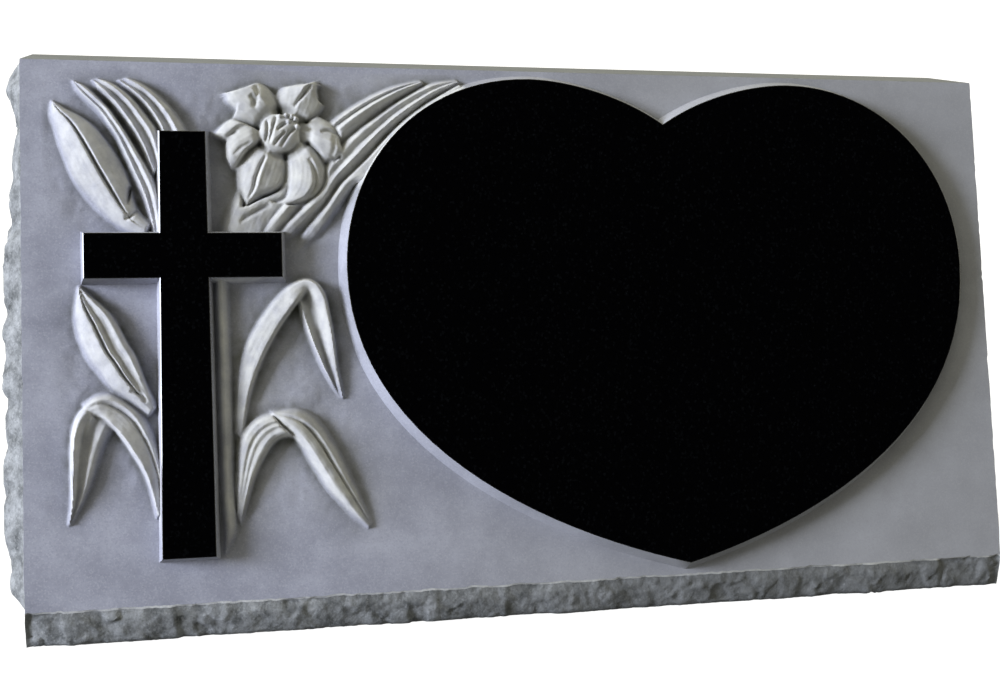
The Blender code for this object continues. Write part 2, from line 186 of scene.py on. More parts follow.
SOFT = ((-1, 0.3), (-0.7, 0.8), (-0.35, 0.92), (-0.15, 0.8), (0.1, 0.96), (0.3, 0.84), (0.6, 1.0),
        (0.85, 0.9), (1, 0.5))
CREST = ((-1, 0.15), (-0.7, 0.45), (-0.45, 0.74), (-0.3, 0.66), (-0.14, 0.46), (0.0, 0.84), (0.25, 0.95),
         (0.5, 1.0), (0.75, 0.68), (1, 0.28))
HOLLOW = ((-1, 0.55), (-0.8, 1.0), (-0.62, 0.8), (-0.4, 0.36), (0.1, 0.34), (0.42, 0.58), (0.58, 0.6),
          (1, 0.12))
HOLLOW_TOP = ((-1, 0.5), (-0.7, 0.95), (-0.2, 0.9), (0.0, 0.5), (0.4, 0.4), (1, 0.4))
SHOULDER = ((-1, 0.4), (-0.6, 0.9), (0.0, 1.0), (0.5, 0.9), (1, 0.5))
CREASED = ((-1, 0.2), (-0.75, 0.48), (-0.56, 0.68), (-0.45, 0.6), (-0.24, 0.34), (-0.05, 0.62), (0.3, 0.76),
           (0.72, 0.92), (0.84, 0.98), (1, 0.45))
PETAL = ((-1, 0.36), (-0.75, 0.62), (-0.35, 0.86), (0.0, 1.0), (0.4, 0.92), (0.75, 0.74), (1, 0.4))
PETAL_LAPPED = ((-1, 0.74), (-0.6, 0.88), (-0.2, 0.98), (0.2, 0.98), (0.6, 0.82), (1, 0.4))
PETAL_UP = ((-1, 0.4), (-0.7, 0.74), (-0.2, 0.9), (0.4, 1.0), (1, 0.9))
PETAL_SPLIT = ((-1, 0.3), (-0.7, 0.6), (-0.3, 0.84), (-0.02, 1.0), (0.1, 0.92), (0.45, 0.8), (0.8, 0.62),
               (1, 0.3))
PETAL_TURNED = ((-1, 0.34), (-0.75, 0.62), (-0.3, 0.84), (0.15, 0.96), (0.42, 1.0), (0.62, 0.82),
                (0.85, 0.62), (1, 0.34))

# The spray: name, sections and heights from the first rung to the last, and rungs, each leaf laid over
# the ones before it. A rung joins a leaf's two edges: across and up on one edge, then on the other.
SPRAY = (
    ("sword_front", (REED,) * 3 + (RIM,) * 4,
     (0.3, 2.5, 5.5, 8.0, 9.6, 10.6, 11.2, 11.2, 9.5, 6.0),
     ((192, 252, 197, 249), (197, 264, 203, 258), (202, 273, 210, 265.5), (208.5, 280.5, 218, 276),
      (215, 288.5, 226, 287), (221, 297, 233, 297), (228, 306, 239, 305.5), (236, 316, 248, 307),
      (245, 325, 258, 316), (254, 334, 267, 326), (263, 343.5, 275, 336), (273, 353, 283, 345.5),
      (284, 361.5, 292, 354), (296, 369.5, 302, 363), (308, 377, 313, 371), (320, 384, 324, 380))),
    ("sword_middle", (REED,) * 2 + (SPEAR_LOW,) * 3,
     (0.5, 5.0, 7.0, 8.4, 9.6, 10.4, 10.6, 10.2, 9.0, 5.0),
     ((176, 266, 186, 258), (183, 274, 193, 266.5), (190, 281, 200, 273.5), (198, 288, 207, 280.5),
      (205, 294, 214, 288), (211, 303, 220, 296), (216, 315, 226, 305), (226, 330, 236, 314),
      (238, 343.5, 248, 325.5), (251, 354, 259, 338), (264, 364, 270, 349), (277, 372.5, 283, 359.5),
      (291, 379.5, 296, 369.5), (303, 384.5, 307, 377), (319, 387.5, 321, 385))),
    ("sword_short", (REED,), (0.5, 5.0, 7.0, 8.0, 8.0),
     ((163, 264, 172, 259), (172, 276, 181.5, 269.5), (178, 283, 188, 277), (185, 291, 195, 284.5),
      (193, 301, 203, 294))),
    ("sword_back", (SPEAR,), (6.0, 7.4, 8.6, 9.6, 9.8, 8.6, 4.0),
     ((186, 322, 207, 309), (205, 338, 216, 322), (219, 350, 228, 335), (232, 360, 240, 346),
      (245, 368.5, 252, 355.5), (259, 376, 265, 365), (274, 382, 279, 374.5), (291, 386.5, 293.5, 383.5))),
    ("broad_leaf", (BROAD,), (0.5, 3.5, 5.4, 6.2, 6.6, 6.6),
     ((136, 250, 154, 252), (137, 258, 163, 262), (139, 270, 170, 272), (143, 284, 178, 283),
      (149, 298, 188, 294), (158, 310, 198, 304))),
    ("blade_high", (BLADE,), (4.0, 9.0, 10.2, 9.8, 9.0),
     ((67.5, 381, 77, 383.5), (72.5, 375.5, 84, 380), (79.5, 369.5, 94, 373.5), (87.5, 360, 103, 364.5),
      (94, 349, 111, 354), (98, 338, 117, 343))),
    ("blade_middle", (BLADE,), (4.0, 9.5, 10.8, 10.4, 9.6, 9.0),
     ((50, 380.5, 56, 382.5), (53.5, 375, 64, 379.5), (59, 368.5, 74, 373), (66, 360, 82.5, 364.5),
      (73, 349.5, 90, 354.5), (79, 339, 96.5, 345), (85, 327, 99, 335), (91, 312, 100, 320))),
    ("blade_low", (BLADE_LOW,), (4.0, 9.4, 10.8, 11.0, 10.0, 9.0),
     ((36, 380, 39, 380), (40, 373, 46, 376), (46, 366, 54, 368.5), (54, 358, 62.5, 359.5),
      (61, 348, 70.5, 347.5), (67, 337, 77, 337), (72, 325, 83, 326), (77, 312, 90, 314),
      (83, 298, 96, 298), (88, 282, 98, 282), (91, 268, 98, 268))),
    ("bud_upper", (BUD,) * 4 + (BUD_FOOT,), (4.5, 9.5, 11.4, 11.6, 10.8, 9.4, 8.0),
     ((21.5, 364.5, 24.5, 364.5), (21, 356, 33, 359.5), (24, 346, 44, 354), (27, 335, 53, 346.5),
      (31, 323, 61, 336.5), (36, 310, 68, 326), (43, 298, 74, 314), (52, 287, 77.5, 303),
      (62, 277.5, 79, 293), (72, 270, 82, 284), (84, 265, 89, 276))),
    ("stem", (REED,), (6.0, 5.4, 5.0, 5.0, 4.6, 2.0),
     ((135, 240, 144, 240), (135.5, 200, 144.5, 200), (136, 160, 145, 160), (136, 120, 145.5, 120),
      (136.5, 85, 146, 85), (137.5, 62, 147, 62), (138, 49, 146, 47), (137.5, 36, 139.5, 35))),
    ("arch_high_back", (UNDER,), (4.0, 6.5, 7.5, 8.0, 8.0, 7.5, 6.0, 3.0),
     ((194, 222, 202, 226), (196, 213, 206, 214), (198.5, 203, 209, 202), (202, 192, 212, 190),
      (206.5, 180, 215, 178), (212, 167, 218.5, 166), (218, 155.5, 222, 155), (224, 145.5, 225.5, 145.5))),
    ("arch_high_front", (RISE,) * 4 + (FALL,) * 4,
     (3.0, 7.0, 9.0, 10.6, 11.0, 10.4, 8.0, 3.0),
     ((147, 122, 152, 118), (149, 150, 156, 143), (151.5, 168, 161, 160), (156, 184, 168, 177),
      (163, 198, 175, 190), (171, 210, 182, 201.5), (180, 221, 189, 211), (190, 229.5, 196, 219.5),
      (200, 233, 200.5, 223.5), (208, 230, 203, 220.5), (213.5, 222, 205, 211.5), (216.5, 210, 208, 200),
      (218.7, 196, 211, 187.5), (220.7, 180, 214.5, 173), (222.6, 164, 218.5, 160),
      (226, 145.5, 224.5, 146))),
    ("arch_low_back", (SOFT,), (2.5, 6.0, 7.4, 8.0, 8.6, 9.2, 9.6),
     ((147, 66, 150, 56), (147.5, 80, 155, 74), (148.5, 95, 159.5, 88), (149.5, 108, 164, 98),
      (152, 120, 170, 108), (160, 129, 176, 115), (170, 134, 183, 118), (182, 136, 190, 117))),
    ("arch_low_front", (SHOULDER,) + (CREST,) * 3,
     (7.2, 9.4, 10.6, 10.8, 10.8, 10.4, 9.6, 8.0, 5.5, 2.5),
     ((174, 135.5, 176, 132), (184, 137, 181, 126), (194, 136.5, 187.5, 119.5), (203, 132.5, 195, 109),
      (211, 124.5, 201, 98), (218.5, 112, 207.5, 87), (225.5, 98, 214, 77), (232.5, 83, 222, 67),
      (239, 68, 231, 57), (245.5, 52, 241, 48))),
    ("arch_left_back", (HOLLOW,) * 3 + (HOLLOW_TOP,), (3.5, 8.0, 9.6, 10.6, 10.6, 10.0),
     ((31, 61, 33, 61), (33, 75, 40.5, 75), (33.2, 88, 46.5, 88), (33.2, 102, 51, 102),
      (33.5, 115, 55, 114.5), (34.5, 126, 59, 122.5), (38, 137, 62, 129), (46, 147, 66, 134))),
    ("arch_left_front", (SHOULDER,) + (CREASED,) * 4,
     (7.6, 9.8, 10.6, 10.8, 10.8, 10.4, 10.0, 9.0, 8.0, 6.0),
     ((42, 145, 50, 136), (50, 151, 55, 134.5), (60, 152.5, 59.5, 130.5), (70, 148.5, 65, 124.5),
      (78.5, 141.5, 70, 117.5), (85, 131, 75.5, 108.5), (90, 119, 80.5, 100), (94, 104, 85, 90),
      (96.5, 88, 88.5, 77), (97.5, 72, 91.5, 64))),
    ("bud_lower", (SCOOPED,) * 4 + (BUD_FOOT,), (5.0, 9.4, 11.0, 11.2, 10.6, 9.8, 7.0),
     ((38.5, 229, 40.5, 229), (36.5, 218, 47, 222), (36, 207, 53.5, 216), (37.5, 196.5, 61, 208),
      (41, 186, 66.5, 198), (45.5, 176, 71.5, 187.5), (52, 167, 76, 180), (60, 156.5, 80, 170.5),
      (70, 148.5, 84, 160), (78, 142, 88, 151), (85.5, 136, 91.5, 143))),
)

# The flower: a throat that joins the petals round the cup, and the petals, softer at their edges
THROAT_PLACE, THROAT_RADIUS, THROAT_RUN, THROAT_RISE = (184.5, 343.5), 31.0, 12.0, 10.2
PETALS = (
    ("left_upper", (PETAL_UP,), (9.6, 10.8, 10.8, 9.6, 7.6, 5.0),
     ((173, 353, 172, 339), (162, 354.5, 160, 340), (152, 354, 151, 339.5), (145, 351, 146, 338.5),
      (140, 346.5, 142, 339.5), (136.5, 343, 138.5, 340.5))),
    ("left_lower", (PETAL_LAPPED,), (9.0, 10.8, 10.8, 9.2, 6.4),
     ((170, 350, 174, 332), (160, 348, 166, 325.5), (151.5, 344, 158, 321), (145.5, 335, 153, 317.5),
      (145, 325, 149, 317))),
    ("right", (PETAL,), (7.0, 8.6, 10.2, 11.0, 10.4, 8.4),
     ((198, 359, 200, 332), (207, 358, 206, 327.5), (216, 354.5, 212, 324), (223, 350, 218, 322.5),
      (227.5, 343.5, 223.5, 322.5), (229.5, 335, 228, 326))),
    ("upper_right", (PETAL_SPLIT,), (7.0, 8.8, 10.6, 11.2, 10.0, 6.5),
     ((181, 352, 205, 353), (181, 362, 213.5, 360), (182.5, 371, 217, 368), (188, 378.5, 216.5, 374.5),
      (199, 380.5, 214, 380), (208.5, 382.5, 211, 383.5))),
    ("upper_left", (PETAL_TURNED,), (7.0, 8.8, 10.6, 11.3, 10.8, 9.4, 6.5),
     ((170, 346, 185, 354), (161, 350, 184, 362), (153, 353.5, 181, 370.5), (149, 357.5, 174.5, 378),
      (147, 362.5, 167.5, 381), (146.3, 367.5, 157, 376.8), (144.3, 373, 146.5, 373.5))),
    ("lower_left", (PETAL_SPLIT,), (7.0, 9.0, 10.8, 11.2, 10.0, 7.6, 4.5),
     ((171, 337, 187, 334), (161, 329, 188.5, 322), (154, 318, 187.5, 310), (153, 306, 182, 301),
      (155.5, 297, 171, 295.5), (157.5, 289, 160, 289.5))),
    ("lower_right", (PETAL_TURNED,), (7.0, 9.0, 10.8, 11.4, 10.6, 9.0, 6.0),
     ((187, 334, 205, 336), (188.5, 326, 212.5, 327.5), (188.5, 315, 217, 317), (188.5, 305, 215.8, 305),
      (187, 298, 209, 296), (184.5, 293, 199, 291.5), (181, 291.5, 190, 289.5))),
)
PETAL_WALL, PETAL_CONTACT = 2.6, 0.8

# Lines cut with a narrow chisel: depth, width, and the places that the line goes through
CHISEL_LINES = (
    (2.6, 1.8, ((163, 371), (166, 367), (166, 361))),
    (2.0, 1.4, ((167, 379), (168, 373), (168, 366))),
    (3.4, 1.3, ((208, 380), (202, 372), (195, 363))),
    (2.4, 1.4, ((214, 344), (221, 345), (228, 342))),
    (1.4, 1.6, ((224, 341), (224, 332), (222, 325))),
    (3.2, 1.4, ((205, 324), (209, 314), (209, 303), (203, 294))),
    (3.6, 1.3, ((174, 326), (170, 319), (166, 309), (164, 301), (160, 293))),
    (1.8, 1.5, ((144, 338), (148, 342), (154, 343))),
    (1.4, 1.4, ((164, 335), (156, 331), (150, 325))),
    (2.0, 1.6, ((153, 276), (160, 281), (167, 285), (176, 290))),
    (2.4, 1.8, ((155, 288), (168, 295), (177, 298), (188, 304))),
    (4.5, 1.2, ((76, 303), (75, 296), (74, 288))),
    (3.0, 1.3, ((72, 278), (76, 280), (81, 285))),
    (2.4, 2.6, ((52, 221), (63, 212), (71, 200), (78, 187), (83, 174), (87, 160), (90, 149))),
    (2.8, 1.3, ((74, 154), (81, 151), (85, 145))),
)

# The flower's cup: a bulb in a hollow between the petals, cut into strands that fan up to small beads
CUP_CENTRE, CUP_RADIUS = (183.5, 343.0), 15.2
CUP_HOLLOW_CENTRE, CUP_HOLLOW_RADIUS = (186.5, 343.5), 18.6
CUP_HOLLOW, CUP_HOLLOW_RUN = 2.4, 2.6
CUP_TOP, CUP_EDGE, CUP_WALL = 11.2, 5.0, 1.4
CUP_LINES = (
    ((175, 353), (175, 344), (173.5, 335)),
    ((182, 356), (179, 346), (176, 334.5)),
    ((189.5, 350), (185, 347), (181.5, 343.5)),
    ((188.5, 343.5), (184, 339), (179.5, 333)),
    ((196.5, 347.5), (190, 341), (184.5, 332)),
)
CUP_LINE_DEPTH, CUP_LINE_WIDTH = 3.4, 1.1
CUP_BEADS = ((184, 355), (190.5, 351), (196, 353.5), (197, 347.5), (193, 355.5), (189, 356))
CUP_BEAD_RADIUS, CUP_BEAD_SUNK, CUP_BEAD_RISE = 1.9, 2.8, 3.0

# The camera, as the photograph was taken
CAMERA_PLACE = Vector((-0.2354, -0.9536, 0.4508))
CAMERA_LOOK = Vector((0.2079, 0.9412, -0.2664))
CAMERA_ROLL = math.radians(2.15)
CAMERA_LENS = 45.46

# Where the polished faces look as the camera sees them, and how bright the room is elsewhere
MIRROR_WAY = Vector((0.24, -0.87, 0.42))
ROOM_LIGHT = 1.35

# How bright the floor is to the camera
FLOOR_GLOW = 0.97

FROSTED, POLISHED, PITCHED, SAWN, BRUISED = range(5)


def pick(piece):
    """Makes one object the only selected one, and the active one."""
    bpy.ops.object.select_all(action="DESELECT")
    piece.select_set(True)
    bpy.context.view_layer.objects.active = piece
    return piece


def face_place():
    """Takes a place on the face, in metres, to the frame."""
    across = Vector((1.0, 0.0, 0.0))
    up = Vector((0.0, math.sin(LEAN), math.cos(LEAN)))
    out = Vector((0.0, -math.cos(LEAN), math.sin(LEAN)))
    turn = Matrix((across, up, out)).transposed().to_4x4()
    corner = Vector((-FACE_WIDTH / 2, -ARRIS_AHEAD, NOSE_HEIGHT)) * MM
    return Matrix.Translation(corner) @ turn


def smoothstep(share):
    """0 to 1, easing in and out."""
    share = np.clip(share, 0.0, 1.0)
    return share * share * (3.0 - 2.0 * share)


def blurred(values, run):
    """The values softened over a run, in steps of the field."""
    reach = int(math.ceil(2.5 * run))
    steps = np.arange(-reach, reach + 1)
    weights = np.exp(-0.5 * (steps / run) ** 2)
    weights /= weights.sum()
    for axis in (0, 1):
        pad = [(0, 0), (0, 0)]
        pad[axis] = (reach, reach)
        padded = np.pad(values, pad, mode="edge")
        values = sum(w * np.take(padded, range(i, i + values.shape[axis]), axis=axis)
                     for i, w in enumerate(weights))
    return values


def smooth_edge(points, per_span):
    """A smooth line through the points of one edge."""
    points = np.array(points, dtype=float)
    before = np.vstack((2 * points[0] - points[1], points[:-2]))
    after = np.vstack((points[2:], 2 * points[-1] - points[-2]))
    here, there = points[:-1], points[1:]
    leave, arrive = (there - before) / 2, (after - here) / 2
    share = np.arange(per_span)[None, :, None] / per_span
    line = ((2 * share**3 - 3 * share**2 + 1) * here[:, None]
            + (share**3 - 2 * share**2 + share) * leave[:, None]
            + (3 * share**2 - 2 * share**3) * there[:, None]
            + (share**3 - share**2) * arrive[:, None])
    return np.vstack((line.reshape(-1, 2), points[-1:]))


def lay_leaf(ground, across, up, sections, heights, rungs, wall=LEAF_WALL, contact=CONTACT_DEPTH):
    """Lays one leaf over what is carved so far. Each section runs from the first edge to the second,
    and the leaf falls off in a short wall outside its edges, with a groove cut at its foot."""
    left = smooth_edge([rung[:2] for rung in rungs], LEAF_STEPS)
    right = smooth_edge([rung[2:] for rung in rungs], LEAF_STEPS)
    margin = 3 * wall + 3 * CONTACT_RUN
    low = np.minimum(left, right).min(axis=0) - margin
    high = np.maximum(left, right).max(axis=0) + margin
    near = (across > low[0]) & (across < high[0]) & (up > low[1]) & (up < high[1])
    u, v = across[near], up[near]
    middle, half = (left + right) / 2, (right - left) / 2
    run = np.gradient(middle, axis=0)
    far = (u[:, None] - middle[:, 0]) ** 2 + (v[:, None] - middle[:, 1]) ** 2
    at = far.argmin(axis=1).astype(float)
    last = len(middle) - 1
    for _ in range(4):
        step = np.minimum(at.astype(int), last - 1)
        share = (at - step)[:, None]
        m, h, r = (line[step] * (1 - share) + line[step + 1] * share for line in (middle, half, run))
        du, dv = u - m[:, 0], v - m[:, 1]
        cross = r[:, 0] * h[:, 1] - r[:, 1] * h[:, 0]
        cross = np.where(np.abs(cross) < TINY, TINY, cross)
        ahead = (du * h[:, 1] - dv * h[:, 0]) / cross
        aside = (r[:, 0] * dv - r[:, 1] * du) / cross
        at = np.clip(at + np.clip(ahead, -2, 2), 0, last)
    pace = np.hypot(r[:, 0], r[:, 1])
    beyond = np.where((at <= 0) | (at >= last), np.abs(ahead) * pace, 0.0)
    outside = np.maximum(np.abs(aside) - 1.0, 0.0) * np.abs(cross) / pace
    outside = np.hypot(outside, beyond)
    tall = np.interp(at / last, np.linspace(0, 1, len(heights)), heights)
    top = np.zeros_like(tall)
    for i, section in enumerate(sections):
        weight = np.clip(1.0 - np.abs(at / last * (len(sections) - 1) - i), 0.0, 1.0)
        top += tall * weight * np.interp(aside, *zip(*section))
    veins = np.cos(2 * math.pi * aside * np.hypot(h[:, 0], h[:, 1]) / VEIN_GAP + 0.5 * np.sin(0.35 * at))
    top += VEIN_DEPTH * veins * np.clip(tall / VEIN_HEIGHT, 0.0, 1.0)
    cover = smoothstep(1.0 - outside / wall)
    under = ground[near]
    groove = contact * np.exp(-((outside / CONTACT_RUN) ** 2))
    under = under - groove * np.clip(under / CONTACT_HEIGHT, 0.0, 1.0)
    carved = ground.copy()
    carved[near] = under * (1 - cover) + top * cover
    return carved


def cut_line(ground, across, up, depth, width, points):
    """Cuts a line that starts and ends shallow."""
    line = smooth_edge(points, LINE_STEPS)
    away = np.full(across.shape, np.inf)
    along = np.zeros(across.shape)
    for i, (here, there) in enumerate(zip(line[:-1], line[1:])):
        run = there - here
        share = ((across - here[0]) * run[0] + (up - here[1]) * run[1]) / (run @ run)
        share = np.clip(share, 0.0, 1.0)
        off = np.hypot(across - here[0] - share * run[0], up - here[1] - share * run[1])
        nearer = off < away
        away = np.where(nearer, off, away)
        along = np.where(nearer, (i + share) / (len(line) - 1), along)
    fade = np.sqrt(np.clip(4 * along * (1 - along), 0.0, 1.0))
    return ground - depth * fade * np.exp(-((away / width) ** 2))


def lay_cup(ground, across, up):
    """The flower's cup: the petals sink towards it, and it bulges up again in the middle."""
    off = np.hypot(across - CUP_HOLLOW_CENTRE[0], up - CUP_HOLLOW_CENTRE[1])
    beyond = np.maximum(off - CUP_HOLLOW_RADIUS, 0.0)
    carved = ground - CUP_HOLLOW * np.exp(-((beyond / CUP_HOLLOW_RUN) ** 2))
    off = np.hypot(across - CUP_CENTRE[0], up - CUP_CENTRE[1])
    bulb = CUP_EDGE + (CUP_TOP - CUP_EDGE) * np.sqrt(np.clip(1 - (off / CUP_RADIUS) ** 2, 0, 1))
    for line in CUP_LINES:
        bulb = cut_line(bulb, across, up, CUP_LINE_DEPTH, CUP_LINE_WIDTH, line)
    cover = smoothstep((CUP_RADIUS - off) / CUP_WALL)
    carved = carved * (1 - cover) + bulb * cover
    for bead in CUP_BEADS:
        away = np.hypot(across - bead[0], up - bead[1]) / CUP_BEAD_RADIUS
        ball = CUP_TOP - CUP_BEAD_SUNK + CUP_BEAD_RISE * np.sqrt(np.clip(1 - away**2, 0, 1))
        carved = np.where(away < 1, np.maximum(carved, ball), carved)
    return np.minimum(carved, CARVED_TOP)


def carved_round(height, run):
    """How much of the stone round each place is carved, from 0 to 1."""
    return blurred((height > CARVED_FROM).astype(float), run / FIELD_STEP)


def carved_field():
    """The carved ground of the face: places across and up, heights, and masks from 0 to 1: painted shade
    in hollows between neighbours, carved leaf, and a painted shadow between cross and heart."""
    counts = [int(round((high - low) / FIELD_STEP)) for low, high in zip(FIELD_LOW, FIELD_HIGH)]
    across, up = np.meshgrid(*(np.linspace(low, high, count + 1)
                               for low, high, count in zip(FIELD_LOW, FIELD_HIGH, counts)))
    height = np.zeros_like(across)
    for _, sections, heights, rungs in SPRAY:
        height = lay_leaf(height, across, up, sections, heights, rungs)
    off = np.hypot(across - THROAT_PLACE[0], up - THROAT_PLACE[1])
    height = np.maximum(height, THROAT_RISE * smoothstep((THROAT_RADIUS - off) / THROAT_RUN))
    for _, sections, heights, rungs in PETALS:
        height = lay_leaf(height, across, up, sections, heights, rungs, PETAL_WALL, PETAL_CONTACT)
    height = lay_cup(height, across, up)
    for depth, width, points in CHISEL_LINES:
        height = cut_line(height, across, up, depth, width, points)
    ground = -DISH_DEPTH * carved_round(height, DISH_RUN)
    rise = smoothstep(height / (2 * CARVED_FROM))
    height = ground * (1 - rise) + height * rise
    height = blurred(height, WORN_STEPS)
    edge = np.minimum.reduce((across - FIELD_LOW[0], FIELD_HIGH[0] - across,
                              up - FIELD_LOW[1], FIELD_HIGH[1] - up))
    worked = smoothstep(TOOLED_GAIN * carved_round(height, TOOLED_REACH)) * smoothstep(edge / TOOLED_REACH)
    draws = np.random.default_rng(TOOLED_SEED)
    for depth, run in TOOLED_DEPTHS:
        tooled = blurred(draws.standard_normal(height.shape), run / FIELD_STEP)
        height += depth * worked * tooled / tooled.std()
    height = np.minimum(height, CARVED_TOP) * smoothstep(edge / FIELD_EDGE)
    # Painted shade: strongest where the carving lies deeper than its blurred surroundings
    painted_recess_shade = np.clip((blurred(height, RECESS_SHADE_RUN / FIELD_STEP) - height) / RECESS_SHADE_DEPTH, 0.0, 1.0)
    leaf = smoothstep((height - BRUISED_FROM) / BRUISED_RUN)
    # Painted shadow: a band round the carved spray, right of the cross, where the cross casts its shadow
    painted_cross_shadow = np.clip(CROSS_SHADOW_GAIN * carved_round(height, CROSS_SHADOW_RUN), 0.0, 1.0)
    painted_cross_shadow *= smoothstep((across - CROSS_SHADOW_LEFT) / CROSS_SHADOW_FADE)
    return across, up, height, {"painted_recess_shade": painted_recess_shade, "carved": leaf, "painted_cross_shadow": painted_cross_shadow}


def carving(across, up, height):
    """The carved field as a grid, thinned where it is plain."""
    rows, columns = height.shape
    bpy.ops.mesh.primitive_grid_add(x_subdivisions=columns - 1, y_subdivisions=rows - 1, size=1.0)
    piece = bpy.context.object
    order = np.empty(len(piece.data.vertices) * 3, dtype=np.float32)
    piece.data.vertices.foreach_get("co", order)
    order = order.reshape(-1, 3)
    column = np.round((order[:, 0] + 0.5) * (columns - 1)).astype(int)
    row = np.round((order[:, 1] + 0.5) * (rows - 1)).astype(int)
    places = np.stack((across[row, column], up[row, column], height[row, column]), axis=1) * MM
    piece.data.vertices.foreach_set("co", places.astype(np.float32).ravel())
    thin = piece.modifiers.new("thin", "DECIMATE")
    thin.ratio = FIELD_KEEP
    bpy.ops.object.modifier_apply(modifier=thin.name)
    bm = bmesh.new()
    bm.from_mesh(piece.data)
    for vert in bm.verts:
        if vert.is_boundary:
            vert.co.z = 0.0
    bm.to_mesh(piece.data)
    bm.free()
    piece.data.transform(face_place())
    return piece


def ramp(distance, run):
    """0 on the pitched line, rising to 1 a run away from it."""
    share = min(max(distance / run, 0.0), 1.0)
    return 1.0 - (1.0 - share) ** 2


def broken(place):
    """The long swell of the broken stone, as a share of how far it may stand out."""
    wave = sum(share * noise.noise(place / length) for length, share in ROCK_WAVES)
    return 1.0 - ROUGHEST_SHARE * (0.5 - WAVE_SHARE * wave)


def facets(place, depths):
    """How deep the stone has broken away at a place: flat flakes, each dropped and tilted its own
    way, with smaller ones in them."""
    deep = 0.0
    for size, depth in zip(FLAKE_SIZES, depths):
        bent = place + noise.noise_vector(place / (1.7 * size)) * size * 0.5
        distances, points = noise.voronoi(bent / size)[:2]
        tilt = noise.noise_vector(points[0] * 7.7).dot(bent / size - points[0])
        flake = 0.5 + FLAKE_TILT * tilt + FLAKE_DROP * noise.noise(points[0] * 3.1)
        step = min((distances[1] - distances[0]) / FLAKE_EDGE, 1.0)
        deep += depth * (flake * step + 0.5 * (1.0 - step))
    return deep


def front_depth(height):
    """Where the front of the block is at a height."""
    return max(height - NOSE_HEIGHT, 0.0) * math.tan(LEAN)


def broken_place(place):
    """Where a place on the plain wedge lies once the stone is pitched."""
    x, y, z = place
    front = front_depth(z)
    on_side = abs(x) > FACE_WIDTH / 2 - TINY
    on_back = y > BASE_DEPTH - TINY
    on_front = y < front + TINY
    side_run = FACE_WIDTH / 2 - abs(x)
    from_top = ramp(STONE_HEIGHT - z, PITCH_RUN)
    below_top = ramp(STONE_HEIGHT - z, FLAKE_RUN)
    from_foot = FOOT_SWELL_SHARE + (1 - FOOT_SWELL_SHARE) * ramp(z, PITCH_RUN)
    out = Vector((0.0, 0.0, 0.0))
    rough = Vector((x, y, z))
    if on_side and not on_back and not on_front:
        front_run = (y - front) * math.cos(LEAN)
        line = ramp(front_run, PITCH_RUN if x < 0 else RIGHT_PITCH_RUN)
        line *= ramp(BASE_DEPTH - y, PITCH_RUN) * from_top
        if x < 0:
            level = z + LEDGE_WANDER * noise.noise(Vector((0.0, y / WANDER_BACK, z / WANDER_UP)))
            line *= np.interp(level, *zip(*LEFT_LEDGES))
        near = ramp(front_run, FLAKE_RUN) * ramp(BASE_DEPTH - y, FLAKE_RUN) * below_top
        flakes = near * facets(rough, LEFT_FLAKES if x < 0 else RIGHT_FLAKES)
        out.x = SIDE_SWELL * line * from_foot * broken(rough) - flakes
        out.x = math.copysign(1.0, x) * min(max(out.x, -DEEPEST_CHIP), SIDE_LIMIT)
    elif on_back and not on_side:
        line = ramp(side_run, PITCH_RUN) * from_top
        flakes = ramp(side_run, FLAKE_RUN) * below_top * facets(rough, BACK_FLAKES)
        out.y = BACK_SWELL * line * from_foot * broken(rough) - flakes
        out.y = min(max(out.y, -DEEPEST_CHIP), BACK_LIMIT)
    elif on_front and z < NOSE_HEIGHT - TINY and not on_side:
        line = ramp(side_run, PITCH_RUN) * ramp(NOSE_HEIGHT - z, NOSE_PITCH_RUN)
        line *= FOOT_SWELL_SHARE + (1 - FOOT_SWELL_SHARE) * ramp(z, NOSE_FOOT_RUN)
        near = ramp(NOSE_HEIGHT - z, NOSE_FLAKE_RUN) * ramp(side_run, NOSE_FLAKE_RUN)
        out.y = near * facets(rough, NOSE_FLAKES) - NOSE_SWELL * line * broken(rough)
        out.y = max(out.y, -NOSE_LIMIT)
    place = rough + out
    coarse, fine = (x / length for length in NICK_LENGTHS)
    nick = noise.noise(Vector((coarse, 3.0, 0.0))) + 0.55 * noise.noise(Vector((fine, 9.0, 0.0)))
    nick = max(nick, -0.15) + 0.15
    if on_front and z < NOSE_HEIGHT + TINY and not on_side:
        lift = NOSE_NICK * nick * (z / NOSE_HEIGHT) ** 2
        place += Vector((0.0, math.sin(LEAN), math.cos(LEAN))) * lift
    if on_side and on_front and TINY < z < STONE_HEIGHT - TINY:
        coarse, fine = (z / length for length in SIDE_NICK_LENGTHS)
        wander = noise.noise(Vector((7.0, 0.0, coarse))) + 0.5 * noise.noise(Vector((7.0, 0.0, fine)))
        place.x -= math.copysign(SIDE_NICK * max(wander + 0.2, 0.0), x)
    if z > STONE_HEIGHT - TINY and on_back and not on_side:
        place.y -= TOP_NICK * nick
    if z > STONE_HEIGHT - TINY and on_side and not on_back and not on_front:
        wander = noise.noise(Vector((1.0, y / TOP_END_NICK, 4.0)))
        place.x -= math.copysign(TOP_NICK * max(wander, 0.0), x)
    return place


def runs_along(edge, axis):
    """Whether an edge runs along an axis."""
    way = edge.verts[1].co - edge.verts[0].co
    return abs(way[axis]) > TINY and abs(way.length - abs(way[axis])) < TINY


def looks_along(face, way):
    """Whether a face looks a way."""
    return face.normal.dot(Vector(way)) > 0.999


